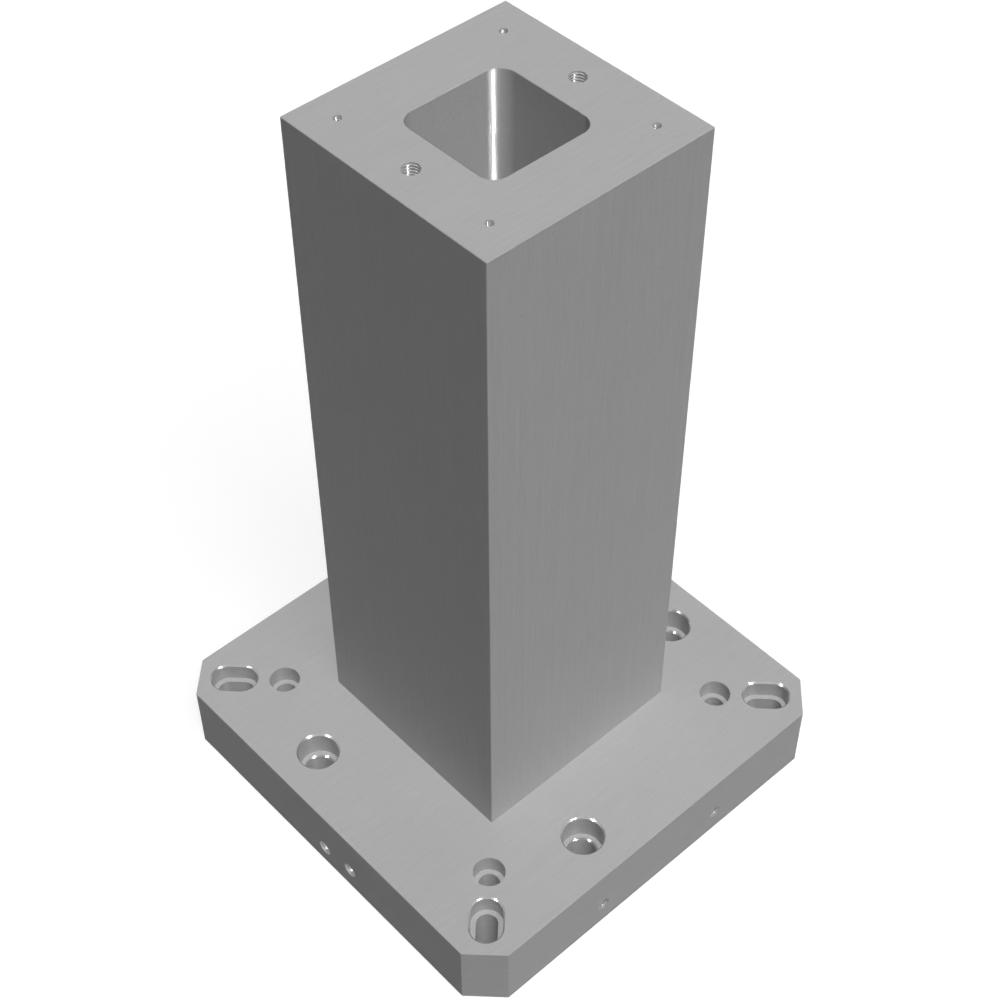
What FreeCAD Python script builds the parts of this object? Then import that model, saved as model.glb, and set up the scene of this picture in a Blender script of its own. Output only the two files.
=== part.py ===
import FreeCAD, Part
import math
import os

# Tombstone fixture: a square column standing on a square base plate, cast in
# one piece of grey iron and ground on its outside faces. All sizes are in
# millimetres. The origin is the centre of the plate's underside, +Z is up,
# and -Y is the front.

# Base plate
plate_side = 300.0
plate_height = 50.0
plate_corner_cut = 20.0

# Column
column_side = 150.0
total_height = 500.0

# Hollow left by the core, open at both ends of the casting
hollow_side = 70.0
hollow_corner_radius = 10.0

# Light break on the outside edges and on the mouths of the hollow
edge_break = 0.3

# Rows that the fixing holes of the plate stand in, measured in from its sides
outer_row_inset = 30.0
inner_row_inset = 50.0

# Four holes for M16 cap screws, one along each side of the plate, set off its
# middle so that the pattern turns like a pinwheel
m16_sideways = 40.0
m16_bore_diameter = 18.0
m16_head_diameter = 26.0
m16_head_depth = 17.5
m16_shelf_chamfer = 1.0

# Four holes for M12 cap screws, one on each diagonal of the plate
m12_bore_diameter = 13.5
m12_head_diameter = 20.0
m12_head_depth = 13.0

# Four slots for M12 cap screws, one across each corner, along the diagonal:
# the travel is the distance from one end centre to the other
slot_travel = 10.0
slot_bore_width = 13.5
slot_head_width = 20.0
slot_head_depth = 13.0

# Chamfer round the mouths of the M16 counterbores and of the slots
rim_chamfer = 1.0

# Tapped holes in the top of the column, as drilled: two for lifting eyes in
# the middle of opposite walls, and one for a cover screw in each corner
lifting_drill_diameter = 10.2
lifting_drill_depth = 30.0
cover_drill_diameter = 5.0
cover_drill_depth = 15.0

# Tapped holes in the sides of the plate for the stops that line it up on a
# machine table, as drilled: two on the left and a pair in front
left_stop_drill_diameter = 10.2
left_stop_drill_depth = 25.0
left_stop_height = 15.0
left_stop_step = 25.0
front_stop_drill_diameter = 8.5
front_stop_drill_depth = 20.0
front_stop_spacing = 100.0
upper_stop_height = 18.0

# Angle of a drill's point
drill_point_angle = 118.0

# Length by which a cutting shape runs past the face it starts from
run_out = 5.0

# Places worked out from the sizes above
plate_half = plate_side / 2
outer_row = plate_half - outer_row_inset
inner_row = plate_half - inner_row_inset
wall_middle = (hollow_side + column_side) / 4

UP = FreeCAD.Vector(0, 0, 1)
ORIGIN = FreeCAD.Vector(0, 0, 0)


def upright_edges(shape):
    """The straight edges of a block that run along Z."""
    return [edge for edge in shape.Edges if abs(edge.tangentAt(edge.FirstParameter).z) > 0.99]


def square_block(side, height):
    """A square block that stands on the origin, centred."""
    return Part.makeBox(side, side, height, FreeCAD.Vector(-side / 2, -side / 2, 0))


def base_plate():
    """The square plate with its four corners cut off and all its edges broken."""
    block = square_block(plate_side, plate_height)
    block = block.makeChamfer(plate_corner_cut, upright_edges(block))
    return block.makeChamfer(edge_break, block.Edges)


def column():
    """The square column on the plate, with every edge broken but those of its foot."""
    block = square_block(column_side, total_height - plate_height)
    broken = [edge for edge in block.Edges if edge.BoundBox.ZMax > edge_break]
    block = block.makeChamfer(edge_break, broken)
    block.translate(FreeCAD.Vector(0, 0, plate_height))
    return block


def core():
    """The square core with rounded corners, longer than the casting at both ends."""
    block = square_block(hollow_side, total_height + 2 * run_out)
    block = block.makeFillet(hollow_corner_radius, upright_edges(block))
    block.translate(FreeCAD.Vector(0, 0, -run_out))
    return block


def turned(profile):
    """A solid of revolution about Z from (radius, height) points that start and end on the axis."""
    points = [FreeCAD.Vector(radius, 0, height) for radius, height in profile]
    face = Part.Face(Part.makePolygon(points + points[:1]))
    return face.revolve(ORIGIN, UP, 360)


def m16_cutter():
    """Through bore, flat shelf for the screw's head and chamfered mouth, on the Z axis."""
    bore = m16_bore_diameter / 2
    head = m16_head_diameter / 2
    shelf = plate_height - m16_head_depth
    return turned([
        (0, -run_out),
        (bore, -run_out),
        (bore, shelf - m16_shelf_chamfer),
        (bore + m16_shelf_chamfer, shelf),
        (head, shelf),
        (head, plate_height - rim_chamfer),
        (head + rim_chamfer, plate_height),
        (head + rim_chamfer, plate_height + run_out),
        (0, plate_height + run_out),
    ])


def m12_cutter():
    """Through bore and plain counterbore on the Z axis."""
    bore = m12_bore_diameter / 2
    head = m12_head_diameter / 2
    shelf = plate_height - m12_head_depth
    return turned([
        (0, -run_out),
        (bore, -run_out),
        (bore, shelf),
        (head, shelf),
        (head, plate_height + run_out),
        (0, plate_height + run_out),
    ])


def slot_prism(width, bottom, top):
    """An upright prism with round ends, from the origin out along +X by the slot's travel."""
    half = width / 2
    near_right = FreeCAD.Vector(0, -half, bottom)
    near_left = FreeCAD.Vector(0, half, bottom)
    far_right = FreeCAD.Vector(slot_travel, -half, bottom)
    far_left = FreeCAD.Vector(slot_travel, half, bottom)
    near_tip = FreeCAD.Vector(-half, 0, bottom)
    far_tip = FreeCAD.Vector(slot_travel + half, 0, bottom)
    outline = Part.Wire([
        Part.LineSegment(near_right, far_right).toShape(),
        Part.Arc(far_right, far_tip, far_left).toShape(),
        Part.LineSegment(far_left, near_left).toShape(),
        Part.Arc(near_left, near_tip, near_right).toShape(),
    ])
    return Part.Face(outline).extrude(FreeCAD.Vector(0, 0, top - bottom))


def slot_cutter():
    """Through slot and counterbored slot, with the inner end centre on the Z axis."""
    shelf = plate_height - slot_head_depth
    through = slot_prism(slot_bore_width, -run_out, plate_height)
    head = slot_prism(slot_head_width, shelf, plate_height + run_out)
    return through.fuse(head)


def drilled_cutter(diameter, depth):
    """A blind hole with a drill's point, down from the origin."""
    radius = diameter / 2
    point = radius / math.tan(math.radians(drill_point_angle / 2))
    return turned([
        (0, run_out),
        (radius, run_out),
        (radius, -depth),
        (0, -depth - point),
    ])


def placed(shape, x, y, z=0.0, turn=0.0):
    """A copy turned about Z where it is made, then moved to its place."""
    copy = shape.copy()
    copy.rotate(ORIGIN, UP, turn)
    copy.translate(FreeCAD.Vector(x, y, z))
    return copy


def round_the_plate(shape):
    """Four copies of a cutter, one for each quarter of the plate."""
    quarters = []
    for quarter in range(4):
        copy = shape.copy()
        copy.rotate(ORIGIN, UP, 90 * quarter)
        quarters.append(copy)
    return quarters


def plate_fixing_cutters():
    """The screw holes and corner slots that hold the plate down."""
    cutters = round_the_plate(placed(m16_cutter(), -outer_row, m16_sideways))
    cutters += round_the_plate(placed(m12_cutter(), inner_row, inner_row))
    cutters += round_the_plate(placed(slot_cutter(), outer_row, outer_row, turn=45))
    return cutters


def top_hole_cutters():
    """The lifting holes and the cover screw holes, all on the middle line of the walls."""
    lifting = drilled_cutter(lifting_drill_diameter, lifting_drill_depth)
    cover = drilled_cutter(cover_drill_diameter, cover_drill_depth)
    cutters = []
    for side in (-1, 1):
        cutters.append(placed(lifting, side * wall_middle, 0, total_height))
    cutters += round_the_plate(placed(cover, wall_middle, wall_middle, total_height))
    return cutters


def stop_hole_cutters():
    """The tapped holes in the left side and in the front side of the plate."""
    along_x = drilled_cutter(left_stop_drill_diameter, left_stop_drill_depth)
    along_x.rotate(ORIGIN, FreeCAD.Vector(0, 1, 0), -90)
    along_y = drilled_cutter(front_stop_drill_diameter, front_stop_drill_depth)
    along_y.rotate(ORIGIN, FreeCAD.Vector(1, 0, 0), 90)
    cutters = [
        placed(along_x, -plate_half, 0, left_stop_height),
        placed(along_x, -plate_half, -left_stop_step, upper_stop_height),
    ]
    for side in (-1, 1):
        cutters.append(placed(along_y, side * front_stop_spacing / 2, -plate_half, upper_stop_height))
    return cutters


def rim_edges(shape, centre, reach):
    """The edges that lie level at a centre's height and within a distance of it."""
    found = []
    for edge in shape.Edges:
        corners = [vertex.Point for vertex in edge.Vertexes]
        level = all(abs(corner.z - centre.z) < 1e-6 for corner in corners)
        near = all(corner.distanceToPoint(centre) < reach for corner in corners)
        if level and near:
            found.append(edge)
    return found


def break_hollow_mouths(shape):
    """Break the edge of the hollow where it opens at the top and at the underside."""
    reach = hollow_side / math.sqrt(2)
    for height in (0, total_height):
        rim = rim_edges(shape, FreeCAD.Vector(0, 0, height), reach)
        shape = shape.makeChamfer(edge_break, rim)
    return shape


def chamfer_slot_mouths(shape):
    """Chamfer the mouth of each corner slot, all the way round."""
    middle = outer_row + slot_travel / 2 / math.sqrt(2)
    reach = slot_travel / 2 + slot_head_width
    for side_x in (-1, 1):
        for side_y in (-1, 1):
            centre = FreeCAD.Vector(side_x * middle, side_y * middle, plate_height)
            rim = [edge for edge in rim_edges(shape, centre, reach) if not on_outline(edge)]
            shape = shape.makeChamfer(rim_chamfer, rim)
    return shape


def on_outline(edge):
    """True for an edge of the plate's own outline, and not of a hole in it."""
    inside = plate_half - edge_break - 1e-3
    for vertex in edge.Vertexes:
        x = abs(vertex.Point.x)
        y = abs(vertex.Point.y)
        if max(x, y) > inside or x + y > 2 * inside - plate_corner_cut:
            return True
    return False


def tombstone():
    """The whole casting with its holes, as one solid."""
    body = base_plate().fuse(column()).removeSplitter()
    body = body.cut(core())
    body = break_hollow_mouths(body)
    body = body.cut(plate_fixing_cutters())
    body = body.cut(top_hole_cutters())
    body = body.cut(stop_hole_cutters())
    return chamfer_slot_mouths(body)


os.makedirs("parts", exist_ok=True)
casting = tombstone()
if casting.ShapeType == "Compound":
    casting = casting.Solids[0]
casting.exportStep("parts/tombstone.step")
box = casting.BoundBox
print("tombstone:", round(box.XLength, 3), "x", round(box.YLength, 3), "x", round(box.ZLength, 3),
      "mm,", round(casting.Volume / 1000, 1), "cm3, valid", casting.isValid())
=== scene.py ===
# %% [markdown]
# # A machining tombstone
#
# A tombstone is a heavy iron column that stands on the table of a milling machine. Workpieces
# are clamped to its four faces, so that one setting of the machine reaches all of them. This
# lesson takes the finished solid, gives it the skin that grinding, boring and casting leave,
# cuts the threads into its tapped holes, and lights and photographs it.
#
# All lengths are in metres, +Z is up, and -Y is the front.

# %% Load the solid model
import math

import bmesh
import bpy
from mathutils import Matrix, Vector


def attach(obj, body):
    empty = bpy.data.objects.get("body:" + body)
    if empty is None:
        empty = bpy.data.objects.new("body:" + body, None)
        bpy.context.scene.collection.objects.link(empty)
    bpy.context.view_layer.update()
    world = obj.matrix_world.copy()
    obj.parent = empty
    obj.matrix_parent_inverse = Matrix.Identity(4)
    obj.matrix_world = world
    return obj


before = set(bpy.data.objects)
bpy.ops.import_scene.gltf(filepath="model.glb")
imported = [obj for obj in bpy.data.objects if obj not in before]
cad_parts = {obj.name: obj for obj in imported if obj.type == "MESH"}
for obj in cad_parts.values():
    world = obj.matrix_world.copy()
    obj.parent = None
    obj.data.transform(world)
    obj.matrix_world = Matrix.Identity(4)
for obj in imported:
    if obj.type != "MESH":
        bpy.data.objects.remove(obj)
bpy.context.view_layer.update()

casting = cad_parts["tombstone"]
print("casting:", len(casting.data.vertices), "vertices,", len(casting.data.polygons), "faces")

# %% [markdown]
# ## The camera
#
# The photograph looks down on the left front corner from about 47 degrees, with a fairly long
# lens, so the column's sides only lean together a little. A camera could be aimed by eye, but
# its angles, distance and lens all change the picture together. Here they were worked out from
# the straight edges of the plate and the column, which fixes all of them at once. The small
# shift, in widths of the picture, keeps the object where it lies in the photograph.

# %% Camera
VIEW_AZIMUTH = math.radians(-42.674)
VIEW_ELEVATION = math.radians(47.361)
EYE = Vector((-0.5238, -0.5748, 1.0660))
SENSOR_WIDTH_MM = 36.0
FOCAL_LENGTH_MM = 69.83
PICTURE_SHIFT = (-0.00606, 0.00971)
NEAR_LIMIT, FAR_LIMIT = 0.01, 50.0

towards_camera = Vector((
    math.sin(VIEW_AZIMUTH) * math.cos(VIEW_ELEVATION),
    -math.cos(VIEW_AZIMUTH) * math.cos(VIEW_ELEVATION),
    math.sin(VIEW_ELEVATION),
))
lens = bpy.data.cameras.new("studio_camera")
lens.sensor_width = SENSOR_WIDTH_MM
lens.lens = FOCAL_LENGTH_MM
lens.shift_x, lens.shift_y = PICTURE_SHIFT
lens.clip_start, lens.clip_end = NEAR_LIMIT, FAR_LIMIT
camera = bpy.data.objects.new("studio_camera", lens)
camera.location = EYE
camera.rotation_mode = "QUATERNION"
camera.rotation_quaternion = (-towards_camera).to_track_quat("-Z", "Y")
bpy.context.scene.collection.objects.link(camera)
bpy.context.scene.camera = camera
print("camera is", round(EYE.length, 3), "m from the middle of the plate's underside")

# %% [markdown]
# ## A bench for building materials
#
# A procedural material is a chain of small nodes: where a point is, which way it faces, a
# noise, a mask, a shader. They could be joined one by one in the editor. In a script it reads
# better with a few helpers. The first adds a node with its settings and its inputs, where an
# input is either a number or the output of another node. The second makes an empty material.

# %% Helpers for node trees
def put(tree, kind, inputs, **settings):
    """Add a node, make its settings, and fill its inputs with values or with links."""
    node = tree.nodes.new("ShaderNode" + kind)
    for name, value in settings.items():
        setattr(node, name, value)
    for socket, value in inputs.items():
        if isinstance(value, bpy.types.NodeSocket):
            tree.links.new(value, node.inputs[socket])
        else:
            node.inputs[socket].default_value = value
    return node


def new_material(name):
    """A material whose node tree is empty."""
    material = bpy.data.materials.new(name)
    material.use_nodes = True
    material.node_tree.nodes.clear()
    return material


# %% [markdown]
# Sums are so common in a material that each gets a name of its own, which keeps the lines below
# as short as the sums themselves.

# %% Helpers for sums
def reckon(tree, operation, first, second=0.0):
    """The output of one Math node."""
    return put(tree, "Math", {0: first, 1: second}, operation=operation).outputs[0]


def plus(tree, first, second):
    """The sum of two values."""
    return reckon(tree, "ADD", first, second)


def minus(tree, first, second):
    """The first value less the second."""
    return reckon(tree, "SUBTRACT", first, second)


def times(tree, first, second):
    """The product of two values."""
    return reckon(tree, "MULTIPLY", first, second)


def smaller(tree, first, second):
    """The smaller of two values."""
    return reckon(tree, "MINIMUM", first, second)


def larger(tree, first, second):
    """The larger of two values."""
    return reckon(tree, "MAXIMUM", first, second)


# %% [markdown]
# A hard switch between two skins would show as a jagged line. So a mask changes smoothly
# between two values, and it falls instead of rising where the first of them is the larger.

# %% Helpers for masks and blends
def threshold(tree, value, start, end):
    """0 on the start's side, 1 on the end's side, and a smooth change between them."""
    node = put(tree, "MapRange", {"Value": value, "From Min": start, "From Max": end},
               interpolation_type="SMOOTHSTEP")
    return node.outputs["Result"]


def blend_of(tree, share, first, second):
    """first where share is 0, second where it is 1."""
    return put(tree, "Mix", {0: share, 2: first, 3: second}, data_type="FLOAT").outputs[0]


def grey_colour(tree, value):
    """A colour with the same red, green and blue."""
    return put(tree, "CombineColor", {0: value, 1: value, 2: value}).outputs[0]


# %% [markdown]
# ## Where on the casting is this point?
#
# One casting has several skins: the ground outside, the bored walls of the screw holes, the
# bright chamfers round their mouths, the tapped holes, and the painted wall of the hollow that
# the sand core left. They could be split into separate material slots, but the mesh of the
# solid stays as it is. So the material works out the skin from the point's own place. The first
# thing that it needs is how far a point lies inside the plate's outline, seen from above: the
# nearer of the straight side and the cut corner counts.

# %% The plate's outline
PLATE_HALF = 0.150
CORNER_CUT = 0.020


def from_middle_lines(tree, place):
    """The distances of a place, split into X, Y and Z, from the planes X = 0 and Y = 0."""
    along_x = reckon(tree, "ABSOLUTE", place.outputs["X"])
    along_y = reckon(tree, "ABSOLUTE", place.outputs["Y"])
    return along_x, along_y


def inside_outline(tree, along_x, along_y):
    """How far a point lies inside the plate's outline, from its distances to the middle lines."""
    to_side = minus(tree, PLATE_HALF, larger(tree, along_x, along_y))
    to_cut = minus(tree, 2 * PLATE_HALF - CORNER_CUT, plus(tree, along_x, along_y))
    return smaller(tree, to_side, times(tree, to_cut, math.sqrt(0.5)))


# %% [markdown]
# All the masks start from the same few facts, so these are read once and kept together. The
# column and the hollow are square, and there the larger of the two distances to the middle
# lines says how far out a point is. The surface's direction tells a level face, where its
# upright part is 1, from a wall, where it is 0.

# %% Facts about a point
class Place:
    """A point of the casting, and the direction of its surface. Its masks are added below."""

    def __init__(self, tree):
        where = put(tree, "TexCoord", {})
        self.point = where.outputs["Object"]
        split = put(tree, "SeparateXYZ", {0: self.point})
        self.height = split.outputs["Z"]
        along_x, along_y = from_middle_lines(tree, split)
        self.across = larger(tree, along_x, along_y)
        self.from_edge = inside_outline(tree, along_x, along_y)
        facing = put(tree, "SeparateXYZ", {0: where.outputs["Normal"]})
        self.upright = reckon(tree, "ABSOLUTE", facing.outputs["Z"])


# %% [markdown]
# A point that lies deeper than a skin's thickness behind the faces of the plate, or behind
# those of the column, is in a hole or in the hollow. The skin is thicker than the broken
# outside edges, so that these still count as outside.

# %% Masks for the faces
PLATE_TOP = 0.050
COLUMN_HALF = 0.075
COLUMN_TOP = 0.500
SKIN = 0.0006
FOOT = (PLATE_TOP + 0.0001, PLATE_TOP + 0.0003)
LEVEL = (0.85, 0.95)


def mark_faces(tree, place):
    """Masks for what lies inside the casting, for the column, and for level faces."""
    in_plate = smaller(tree, place.from_edge, minus(tree, PLATE_TOP, place.height))
    behind_wall = minus(tree, COLUMN_HALF, place.across)
    in_column = smaller(tree, behind_wall, minus(tree, COLUMN_TOP, place.height))
    depth = smaller(tree, larger(tree, in_plate, in_column), place.height)
    place.inside = threshold(tree, depth, SKIN, 2 * SKIN)
    place.on_column = threshold(tree, place.height, *FOOT)
    place.level = threshold(tree, place.upright, *LEVEL)


# %% [markdown]
# What lies inside, and no farther out than the hollow's walls, was shaped by the sand core and
# then painted. All other faces were cut by a tool.

# %% Masks for the hollow
HOLLOW_HALF = 0.035
HOLLOW_EDGE = (HOLLOW_HALF + 2 * SKIN, HOLLOW_HALF + SKIN)


def mark_hollow(tree, place):
    """Masks for the hollow's width, for its painted wall, and for all faces that were cut."""
    place.over_hollow = threshold(tree, place.across, *HOLLOW_EDGE)
    place.cored = times(tree, place.over_hollow, place.inside)
    place.cut = minus(tree, 1.0, place.cored)


# %% [markdown]
# A chamfer slopes at about 45 degrees. In the plate, every such slope that is off the outer
# edges belongs to a hole: to its mouth, to its shelf, or to the round wall of a stop hole,
# which shines in the same way.

# %% Mask for the chamfers
OFF_UPRIGHT = (0.5, 0.62)
OFF_LEVEL = (0.9, 0.8)


def mark_chamfers(tree, place):
    """A mask for the slopes in the plate's holes."""
    place.in_plate = minus(tree, 1.0, place.on_column)
    sloping = times(tree, threshold(tree, place.upright, *OFF_UPRIGHT),
                    threshold(tree, place.upright, *OFF_LEVEL))
    off_edge = threshold(tree, place.from_edge, SKIN, 2 * SKIN)
    place.chamfer = times(tree, sloping, times(tree, off_edge, place.in_plate))


# %% [markdown]
# The tapped holes are the only ones in the column's walls. In the plate they are the only ones
# that come out of its sides, so there a few millimetres behind the sides count as tapped. That
# is just short of where the corner slots begin.

# %% Masks for the tapped holes
NEAR_SIDE = (0.0075, 0.0065)


def mark_tapped(tree, place):
    """Masks for the tapped holes in the top and in the plate's sides."""
    in_wall = times(tree, place.on_column, minus(tree, 1.0, place.over_hollow))
    near_side = times(tree, place.in_plate, threshold(tree, place.from_edge, *NEAR_SIDE))
    place.tapped_top = times(tree, place.inside, in_wall)
    place.tapped_side = times(tree, place.inside, near_side)


# %% [markdown]
# ## Ground iron
#
# Grinding and milling leave fine straight marks that all run one way on a face, and grey iron
# shows small dark flecks of graphite between them. A photograph could be laid on the faces,
# but a stretched noise does it at any scale: the noise changes quickly across the marks and
# slowly along them. The marks lie along X on level faces, upright on the column and level on
# the plate's sides. In the bores they run round, as a boring tool leaves them. Three layers,
# each about three times finer than the last, keep the face interesting from afar and close by.

# %% Marks of the tools
# How fast the noise changes along X, Y and Z, per metre
PLATE_SIDE_MARKS = (8, 8, 420)
COLUMN_MARKS = (420, 420, 5)
LEVEL_MARKS = (6, 420, 6)
BORE_MARKS = (60, 60, 900)
MARK_DETAIL = 3.0
MARK_ROUGHNESS = 0.65


def streaks(tree, place, fineness):
    """Noise stretched along the marks of the tool that cut each face."""
    def scaled(marks):
        return tuple(rate * fineness for rate in marks)

    scale = scaled(PLATE_SIDE_MARKS)
    layers = [(place.on_column, COLUMN_MARKS), (place.level, LEVEL_MARKS), (place.inside, BORE_MARKS)]
    for mask, marks in layers:
        scale = put(tree, "Mix", {0: mask, 4: scale, 5: scaled(marks)}, data_type="VECTOR").outputs[1]
    stretched = put(tree, "VectorMath", {0: place.point, 1: scale}, operation="MULTIPLY").outputs[0]
    noise = put(tree, "TexNoise", {"Vector": stretched, "Scale": 1.0, "Detail": MARK_DETAIL,
                                   "Roughness": MARK_ROUGHNESS})
    return noise.outputs["Fac"]


# %% [markdown]
# Other noises have no direction. Clouds a few centimetres wide keep a large face from looking
# flat, a grain of about a millimetre makes the flecks, and the sand of the core leaves a print
# that is a little coarser.

# %% All noises of the iron
FINENESS = {"marks": 1.0, "scratches": 3.1, "hairlines": 9.7}

# Blobs per metre, and the detail in them
EVEN_NOISES = {"clouds": (16.0, 3.0), "grain": (900.0, 2.0), "sand": (420.0, 3.0)}


def all_noises(tree, place):
    """Every noise of the iron, by its name."""
    noises = {name: streaks(tree, place, fineness) for name, fineness in FINENESS.items()}
    for name, (scale, detail) in EVEN_NOISES.items():
        noise = put(tree, "TexNoise", {"Vector": place.point, "Scale": scale, "Detail": detail})
        noises[name] = noise.outputs["Fac"]
    return noises


# %% [markdown]
# The colour is one grey that the noises lighten and darken. Each is taken about its middle, so
# that the grey stays the same from afar. The marks are only on the faces that a tool has cut,
# and the sand's print is only in the hollow, where paint covers it. A fleck of graphite is
# where the grain rises above a threshold. The hollow's wall is made a little lighter. This is
# partly the colour of its paint and partly painted light, which makes up for the shade deep in
# the hollow.

# %% Colour of the iron
IRON = 0.42
MARK_TONE = 0.10
HAIRLINE_TONE = 0.34
CLOUD_TONE = 0.07
SAND_TONE = 0.16
FLECK_TONE = 0.30
FLECK_EDGE = (0.66, 0.76)
# Lightens the hollow: partly the paint's own colour, partly painted light against the shade there
HOLLOW_PAINT_AND_PAINTED_LIGHT = 0.06


def swing(tree, noise, amount):
    """A noise about its middle, times an amount."""
    return times(tree, minus(tree, noise, 0.5), amount)


def iron_colour(tree, place, noises):
    """The grey of the iron, with its marks and flecks, and a hollow lightened partly for its paint and
    partly as painted light.
    """
    mark_tone = times(tree, place.cut, MARK_TONE)
    tones = {
        "marks": mark_tone,
        "scratches": mark_tone,
        "hairlines": times(tree, place.cut, HAIRLINE_TONE),
        "clouds": CLOUD_TONE,
        "sand": times(tree, place.cored, SAND_TONE),
    }
    grey = IRON
    for name, tone in tones.items():
        grey = times(tree, grey, plus(tree, swing(tree, noises[name], tone), 1.0))
    flecks = threshold(tree, noises["grain"], *FLECK_EDGE)
    grey = times(tree, grey, minus(tree, 1.0, times(tree, flecks, FLECK_TONE)))
    # The hollow is made lighter: partly its paint, partly painted light that offsets the shade in it
    grey = times(tree, grey, plus(tree, 1.0, times(tree, place.cored, HOLLOW_PAINT_AND_PAINTED_LIGHT)))
    return grey_colour(tree, grey)


# %% [markdown]
# A ground face is satin, a bored wall shines more, a fresh chamfer more still, and the paint in
# the hollow is the glossiest. Ground iron is matt enough to look like a plain grey, so most of
# it is no metal to the shader. Only the chamfers and the tapped holes, which catch the lamps,
# are partly metallic.

# %% Gloss and metal
GROUND_ROUGHNESS = 0.70
BORED_ROUGHNESS = 0.26
CHAMFER_ROUGHNESS = 0.20
PAINT_ROUGHNESS = 0.15
SCRATCH_SWING = 0.16
CLOUD_SWING = 0.10
CHAMFER_METAL = 0.5
TOP_HOLE_METAL = 0.12
SIDE_HOLE_METAL = 0.45


def iron_roughness(tree, place, noises):
    """How rough each skin is, a little uneven with its scratches and clouds."""
    rough = blend_of(tree, place.inside, GROUND_ROUGHNESS, BORED_ROUGHNESS)
    rough = blend_of(tree, place.chamfer, rough, CHAMFER_ROUGHNESS)
    rough = blend_of(tree, place.cored, rough, PAINT_ROUGHNESS)
    rough = plus(tree, rough, swing(tree, noises["scratches"], SCRATCH_SWING))
    return plus(tree, rough, swing(tree, noises["clouds"], CLOUD_SWING))


def iron_metal(tree, place):
    """How much each skin shines like bare metal."""
    tapped = plus(tree, times(tree, place.tapped_top, TOP_HOLE_METAL),
                  times(tree, place.tapped_side, SIDE_HOLE_METAL))
    return larger(tree, times(tree, place.chamfer, CHAMFER_METAL), tapped)


# %% [markdown]
# The relief is real in size: the marks are about a hundredth of a millimetre deep, and the
# sand's print under the paint is a little deeper. The bump node takes heights in metres when
# its distance is 1.

# %% Relief
MARK_HEIGHT = 0.000012
SAND_HEIGHT = 0.00003
SCRATCH_SHARE = 0.5
HAIRLINE_SHARE = 0.25
RELIEF_STRENGTH = 0.6


def iron_relief(tree, place, noises):
    """Surface directions that show the tool marks and the print of the sand."""
    marks = plus(tree, noises["marks"], times(tree, noises["scratches"], SCRATCH_SHARE))
    marks = plus(tree, marks, times(tree, noises["hairlines"], HAIRLINE_SHARE))
    marks = times(tree, marks, times(tree, place.cut, MARK_HEIGHT))
    sand = times(tree, noises["sand"], times(tree, place.cored, SAND_HEIGHT))
    bump = put(tree, "Bump", {"Strength": RELIEF_STRENGTH, "Distance": 1.0,
                              "Height": plus(tree, marks, sand)})
    return bump.outputs[0]


# %% [markdown]
# Now the colour, the gloss, the metal and the relief meet in one shader. The casting and its
# threads share the material, because they are the same iron.

# %% Material of the casting
SPECULAR_LEVEL = 0.25


def cast_iron():
    """The material of the casting."""
    material = new_material("ground_cast_iron")
    tree = material.node_tree
    place = Place(tree)
    for mark in (mark_faces, mark_hollow, mark_chamfers, mark_tapped):
        mark(tree, place)
    noises = all_noises(tree, place)
    skin = put(tree, "BsdfPrincipled", {
        "Base Color": iron_colour(tree, place, noises),
        "Roughness": iron_roughness(tree, place, noises),
        "Metallic": iron_metal(tree, place),
        "Normal": iron_relief(tree, place, noises),
        "Specular IOR Level": SPECULAR_LEVEL,
    })
    put(tree, "OutputMaterial", {0: skin.outputs[0]})
    return material


iron = cast_iron()
casting.data.materials.clear()
casting.data.materials.append(iron)
print("iron material:", len(iron.node_tree.nodes), "nodes")

# %% [markdown]
# ## Threads
#
# The lifting eyes, the cover and the stops are screwed into tapped holes. The solid has them as
# the drill leaves them, plain and round. A thread could be faked with a bump, but a close view
# looks straight into the hole. So each thread is a real ridge: one small profile is spun round
# the hole's axis and moved up by the pitch at each turn, which makes a helix. Its last turn
# comes up out of the surface and is cut off level with it.

# %% Helix cut level with the face
STEPS_PER_TURN = 28
SUNK_IN_WALL = 0.00006
MERGE_DISTANCE = 1e-7
CUT_TOLERANCE = 1e-8

# Sizes of the ridge in pitches
CREST_HEIGHT = 0.16
CREST_FLAT = 0.16
ROOT_FLAT = 0.62


def thread_ridge(name, drill_radius, pitch, length):
    """A right-handed ridge on the wall of a hole that opens at the origin, facing +Z."""
    turns = math.ceil(length / pitch) + 1
    root = drill_radius + SUNK_IN_WALL
    crest = drill_radius - CREST_HEIGHT * pitch
    low = -turns * pitch
    profile = [
        (root, low - ROOT_FLAT * pitch / 2),
        (root, low + ROOT_FLAT * pitch / 2),
        (crest, low + CREST_FLAT * pitch / 2),
        (crest, low - CREST_FLAT * pitch / 2),
    ]
    form = bmesh.new()
    corners = [form.verts.new((radius, 0, height)) for radius, height in profile]
    start = form.faces.new(corners)
    bmesh.ops.spin(
        form, geom=[start] + list(start.verts) + list(start.edges), cent=(0, 0, 0), axis=(0, 0, 1),
        dvec=(0, 0, pitch / STEPS_PER_TURN), angle=turns * 2 * math.pi, steps=turns * STEPS_PER_TURN,
        use_merge=False, use_duplicate=False)
    bmesh.ops.remove_doubles(form, verts=form.verts, dist=MERGE_DISTANCE)
    everything = list(form.verts) + list(form.edges) + list(form.faces)
    cut = bmesh.ops.bisect_plane(form, geom=everything, dist=CUT_TOLERANCE, plane_co=(0, 0, 0),
                                 plane_no=(0, 0, 1), clear_outer=True)
    rim = [part for part in cut["geom_cut"] if isinstance(part, bmesh.types.BMEdge)]
    bmesh.ops.holes_fill(form, edges=rim, sides=0)
    bmesh.ops.recalc_face_normals(form, faces=form.faces)
    mesh = bpy.data.meshes.new(name)
    form.to_mesh(mesh)
    form.free()
    return mesh


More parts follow.
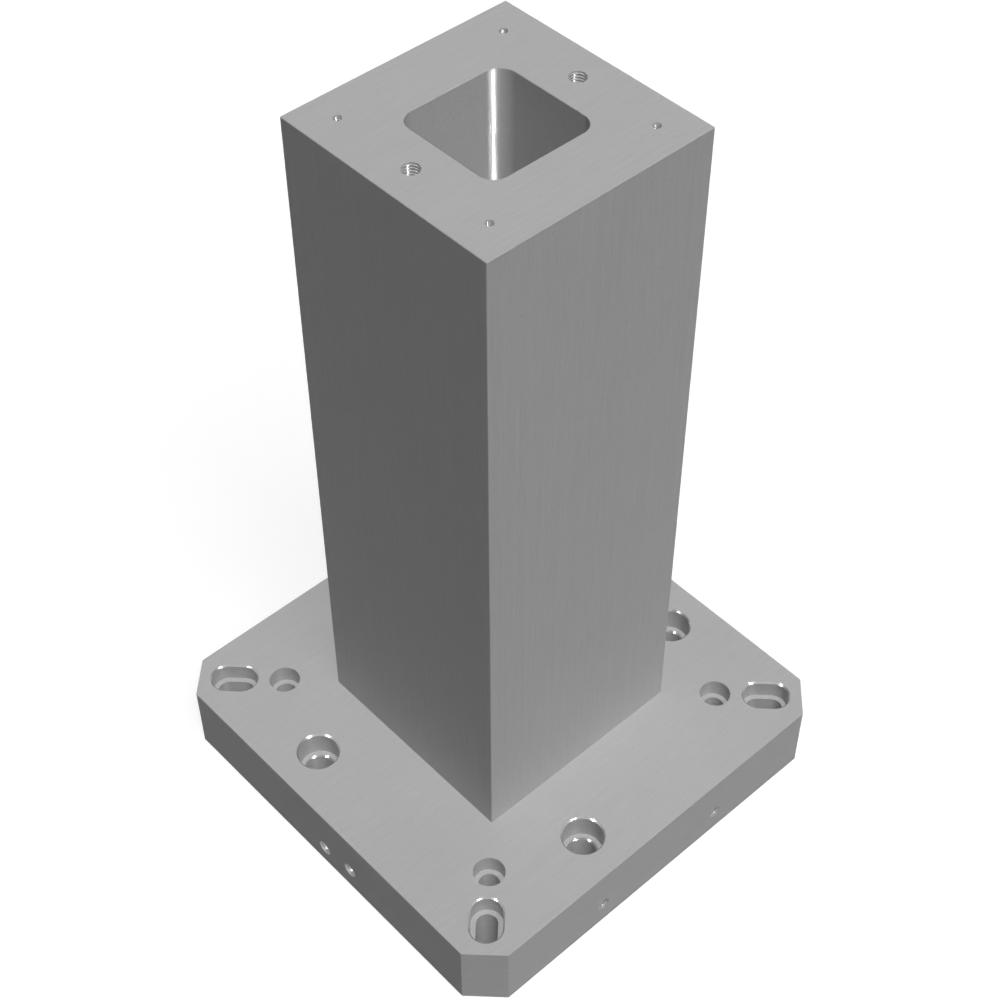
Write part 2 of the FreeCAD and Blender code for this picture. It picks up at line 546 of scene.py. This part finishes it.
# %% [markdown]
# Each hole has a mouth, a direction that it faces, and the size of its screw. The sizes are the
# ones that the drills were chosen for: M12 for the lifting eyes and the left stops, M10 for the
# front stops and M6 for the cover.

# %% The ten tapped holes
# Drill radius, pitch, and length of the thread
M12 = (0.0051, 0.00175, 0.024)
M10 = (0.00425, 0.0015, 0.018)
M6 = (0.0025, 0.001, 0.012)

UP, LEFT, FRONT = (0, 0, 1), (-1, 0, 0), (0, -1, 0)
WALL = (HOLLOW_HALF + COLUMN_HALF) / 2
LOWER_STOP = 0.015
UPPER_STOP = 0.018
LEFT_STOP_STEP = 0.025
FRONT_STOP = 0.050

tapped_holes = {
    "thread_lifting_left": ((-WALL, 0, COLUMN_TOP), UP, M12),
    "thread_lifting_right": ((WALL, 0, COLUMN_TOP), UP, M12),
    "thread_cover_front_left": ((-WALL, -WALL, COLUMN_TOP), UP, M6),
    "thread_cover_front_right": ((WALL, -WALL, COLUMN_TOP), UP, M6),
    "thread_cover_back_right": ((WALL, WALL, COLUMN_TOP), UP, M6),
    "thread_cover_back_left": ((-WALL, WALL, COLUMN_TOP), UP, M6),
    "thread_left_stop_lower": ((-PLATE_HALF, 0, LOWER_STOP), LEFT, M12),
    "thread_left_stop_upper": ((-PLATE_HALF, -LEFT_STOP_STEP, UPPER_STOP), LEFT, M12),
    "thread_front_stop_left": ((-FRONT_STOP, -PLATE_HALF, UPPER_STOP), FRONT, M10),
    "thread_front_stop_right": ((FRONT_STOP, -PLATE_HALF, UPPER_STOP), FRONT, M10),
}
print("tapped holes:", len(tapped_holes))

# %% [markdown]
# Every ridge is made at the origin. It could be moved by its object, but then a pattern that
# reads the object's own coordinates would slide off. So the mesh itself is turned to face out of
# its hole and moved there, and the object stays at the origin.

# %% Threads in their holes
for name, (mouth, facing, (radius, pitch, length)) in tapped_holes.items():
    ridge = thread_ridge(name, radius, pitch, length)
    turn = Vector(UP).rotation_difference(Vector(facing)).to_matrix().to_4x4()
    ridge.transform(Matrix.Translation(mouth) @ turn)
    ridge.materials.append(iron)
    thread = bpy.data.objects.new(name, ridge)
    bpy.context.scene.collection.objects.link(thread)
    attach(thread, "root")
    print(name, len(ridge.polygons), "faces")

# %% [markdown]
# ## Floor
#
# The object stands on a plain white floor that runs past every edge of the picture. Such a
# floor throws a lot of light back up and would wash out the dark side of the column. Light Path
# tells the floor what kind of ray asks for its colour: the camera and reflections see it white,
# and only the light that it throws on the object is held back. A faint glow, for those same
# rays, makes up for what the floor doesn't get from the lamps. It still takes the shadow. Under
# the plate its colour is painted dark, as painted shade, because little light comes down to it
# through the holes.

# %% Material of the floor
FLOOR_BOUNCE = 0.06
FLOOR_GLOW = 0.11
# Painted shade: the floor's colour under the plate, and the edge of that dark patch
PAINTED_SHADE_UNDER_PLATE = 0.12
PAINTED_SHADE_EDGE = (0.006, 0.008)


def seen_directly(tree):
    """1 for rays from the camera, from reflections and through glass, else 0."""
    rays = put(tree, "LightPath", {})
    seen = larger(tree, rays.outputs["Is Camera Ray"], rays.outputs["Is Glossy Ray"])
    return larger(tree, seen, rays.outputs["Is Transmission Ray"])


def white_floor():
    """The material of the floor, with painted shade under the plate."""
    material = new_material("studio_floor")
    tree = material.node_tree
    seen = seen_directly(tree)
    where = put(tree, "TexCoord", {})
    split = put(tree, "SeparateXYZ", {0: where.outputs["Object"]})
    along_x, along_y = from_middle_lines(tree, split)
    # Painted shade: the floor's colour and glow are darker inside the plate's outline
    painted_shade_mask = threshold(tree, inside_outline(tree, along_x, along_y), *PAINTED_SHADE_EDGE)
    white_and_painted_shade = blend_of(tree, painted_shade_mask, 1.0, PAINTED_SHADE_UNDER_PLATE)
    colour = grey_colour(tree, blend_of(tree, seen, FLOOR_BOUNCE, white_and_painted_shade))
    skin = put(tree, "BsdfDiffuse", {"Color": colour})
    glow = put(tree, "Emission", {"Strength": times(tree, seen, times(tree, white_and_painted_shade, FLOOR_GLOW))})
    both = put(tree, "AddShader", {0: skin.outputs[0], 1: glow.outputs[0]})
    put(tree, "OutputMaterial", {0: both.outputs[0]})
    return material


# %% [markdown]
# The floor itself is one flat face, laid a hair below the plate, so that the two never fight
# for the same plane.

# %% Floor
FLOOR_REACH = 12.0
FLOOR_HEIGHT = -0.0002

sheet = bmesh.new()
bmesh.ops.create_grid(sheet, x_segments=1, y_segments=1, size=FLOOR_REACH)
bmesh.ops.translate(sheet, verts=sheet.verts, vec=(0, 0, FLOOR_HEIGHT))
floor_mesh = bpy.data.meshes.new("studio_floor")
sheet.to_mesh(floor_mesh)
sheet.free()
floor_mesh.materials.append(white_floor())
floor = bpy.data.objects.new("studio_floor", floor_mesh)
bpy.context.scene.collection.objects.link(floor)
print("floor corners:", [[round(v, 4) for v in vertex.co] for vertex in floor_mesh.vertices])

# %% [markdown]
# ## Background
#
# The world is white to the camera and to reflections, so that shiny edges have something to
# mirror. As a light it is weak and even, and it only lifts the darkest faces. The same test of
# the ray as on the floor keeps the two apart.

# %% World
SKY_LIGHT = 0.09
WHITE = (1, 1, 1, 1)

world = bpy.data.worlds.new("studio")
bpy.context.scene.world = world
world.use_nodes = True
sky_tree = world.node_tree
sky_tree.nodes.clear()
sky_strength = blend_of(sky_tree, seen_directly(sky_tree), SKY_LIGHT, 1.0)
sky = put(sky_tree, "Background", {"Color": WHITE, "Strength": sky_strength})
put(sky_tree, "OutputWorld", {0: sky.outputs[0]})
print("sky light", SKY_LIGHT, "and floor bounce", FLOOR_BOUNCE)

# %% [markdown]
# ## Studio lamps
#
# The picture has three clear tones: the top is lightest, the right side is a step darker and
# the left side darker again. One distant lamp, high and in front, gives just that order. Suns
# are used here because every point of a flat face then gets the same light. The key is split in
# two: one part casts a soft shadow, and the other casts none, which stands for the light that
# white studio walls throw back into holes and corners. A weak third lamp stands behind, low
# enough to leave the top almost alone, so that the two far sides aren't black from there.

# %% Key and fill
def sun(name, towards, strength, width, shadow=True):
    """A distant lamp in the direction towards, as wide as an angle in degrees. At a strength
    of 1 it makes a white face that looks straight at it as bright as white."""
    lamp = bpy.data.lights.new(name, "SUN")
    lamp.energy = strength * math.pi
    lamp.angle = math.radians(width)
    lamp.use_shadow = shadow
    holder = bpy.data.objects.new(name, lamp)
    holder.rotation_mode = "QUATERNION"
    holder.rotation_quaternion = Vector(towards).normalized().to_track_quat("Z", "Y")
    bpy.context.scene.collection.objects.link(holder)
    return holder


KEY = (-0.128, -0.486, 0.864)
BACK = (0.45, 0.85, 0.16)
sun("key_with_shadow", KEY, strength=0.16, width=30)
sun("key_fill", KEY, strength=0.745, width=8, shadow=False)
back_fill = sun("back_fill", BACK, strength=0.25, width=20, shadow=False)
back_fill.visible_glossy = False

# %% [markdown]
# ## Glints
#
# In the photograph each chamfered hole has two small white glints, and the rounded corner of
# the hollow has a tall white line. They are mirror images of lamps. A lamp strong enough to
# make them would also flatten the three tones, so these lamps only count in reflections: they
# are hidden from diffuse rays, they stop after the first bounce, and nothing shades them. Where
# each must stand follows from the mirror law: halfway between the lamp and the camera lies the
# direction that the shining bit of metal faces.

# %% Glint lamps
def gloss_only(holder):
    """Let a lamp show only as a direct reflection."""
    holder.data.use_shadow = False
    holder.data.cycles.max_bounces = 0
    holder.data.cycles.use_multiple_importance_sampling = False
    holder.visible_diffuse = False
    holder.visible_camera = False


# Direction, strength, and width in degrees
GLINTS = {
    "glint_left": ((-0.866, -0.03, 0.499), 0.36, 14),
    "glint_front": ((0.003, -0.852, 0.524), 0.36, 14),
    "glint_high": ((0.45, -0.35, 0.82), 0.35, 5),
    "glint_low": ((-0.04, -0.81, -0.59), 0.45, 4),
}
for name, (towards, strength, width) in GLINTS.items():
    gloss_only(sun(name, towards, strength, width))
print("glint lamps:", len(GLINTS))

# %% [markdown]
# The line in the hollow is different. The corner is rounded, so a distant lamp would leave
# only a hair in it. An upright strip close to the corner fills more of its view and gives a
# line as broad as the one in the picture. It stands a few millimetres in front of the corner,
# and a little to one side, where the camera sees its mirror image.

# %% Strip lamp in the hollow
STRIP_WIDTH = 0.0095
STRIP_HEIGHT = 0.105
STRIP_RADIANCE = 24.0
STRIP_SPREAD = math.radians(160)
TO_CORNER = Vector((0.608, 0.557, 0)).normalized()
SIDEWAYS = Vector((-0.557, 0.608, 0)).normalized()
STRIP_REACH = 0.038
STRIP_OFFSET = -0.0038
STRIP_LEVEL = Vector((0, 0, 0.445))

strip = bpy.data.lights.new("glint_hollow", "AREA")
strip.shape = "RECTANGLE"
strip.size, strip.size_y = STRIP_WIDTH, STRIP_HEIGHT
strip.energy = STRIP_RADIANCE * math.pi * STRIP_WIDTH * STRIP_HEIGHT
strip.spread = STRIP_SPREAD
strip_holder = bpy.data.objects.new("glint_hollow", strip)
strip_holder.location = STRIP_REACH * TO_CORNER + STRIP_OFFSET * SIDEWAYS + STRIP_LEVEL
strip_holder.rotation_mode = "QUATERNION"
strip_holder.rotation_quaternion = TO_CORNER.to_track_quat("-Z", "Y")
bpy.context.scene.collection.objects.link(strip_holder)
gloss_only(strip_holder)
print("strip lamp at", [round(v, 4) for v in strip_holder.location], "with", round(strip.energy, 3), "W")

# %% [markdown]
# ## Finish
#
# The colours are shown as they are, so the view transform is Standard.

# %% View transform
bpy.context.scene.view_settings.view_transform = "Standard"
